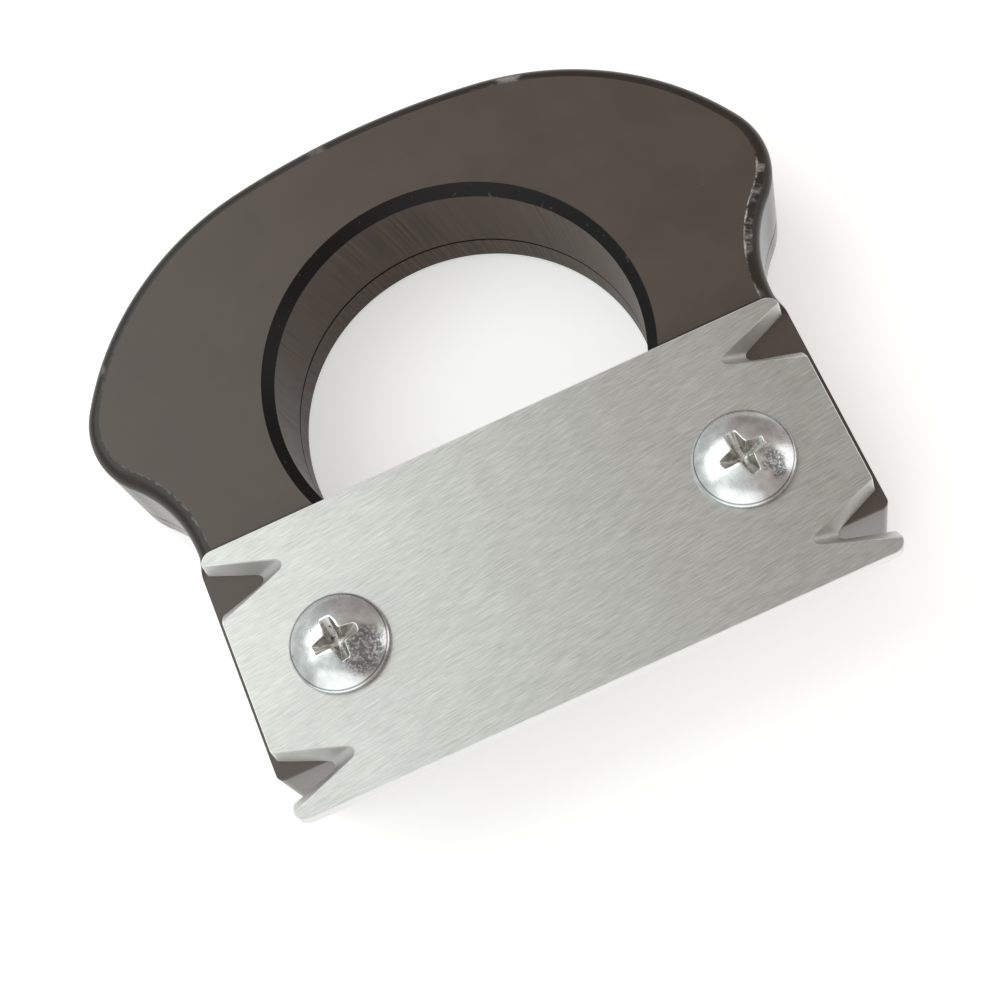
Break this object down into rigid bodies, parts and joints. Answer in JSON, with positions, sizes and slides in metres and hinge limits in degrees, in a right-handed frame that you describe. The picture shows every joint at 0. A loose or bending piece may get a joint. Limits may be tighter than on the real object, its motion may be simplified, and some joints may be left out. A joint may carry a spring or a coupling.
{
  "type": "edge banding trimmer",
  "caption": "Hand-held edge banding trimmer: a notched steel blade plate is screwed to a dark two-layer handle with a round finger hole.",
  "frame": {"origin": "under the middle of the outline's box, on the handle's back face", "axes": "+X along the blade, +Y from the blade towards the crown, +Z from the back face out through the blade"},
  "size_m": [0.0916, 0.0822, 0.0235],
  "materials": {
    "handle_front": "satin, cut edges rough",
    "handle_back": "satin, cut edges rough",
    "blade": "brushed along its length, ground notches",
    "screw": "zinc plated, lightly worn",
    "nut": "zinc plated"
  },
  "bodies": {
    "handle": {"handle_front": "handle_front", "handle_back": "handle_back", "nut_left": "nut", "nut_right": "nut"},
    "blade": {"blade": "blade"},
    "screw_left": {"screw_left": "screw"},
    "screw_right": {"screw_right": "screw"}
  },
  "joints": [
    {"name": "blade_lift", "type": "slide", "parent": "handle", "child": "blade", "axis": [0, 0, 1], "range_m": [0, 0.015]},
    {"name": "screw_left_turn", "type": "hinge", "parent": "blade", "child": "screw_left", "pos_m": [-0.0255, -0.02365, 0.0206], "axis": [0, 0, 1], "continuous": true},
    {"name": "screw_right_turn", "type": "hinge", "parent": "blade", "child": "screw_right", "pos_m": [0.0255, -0.02365, 0.0206], "axis": [0, 0, 1], "continuous": true}
  ]
}
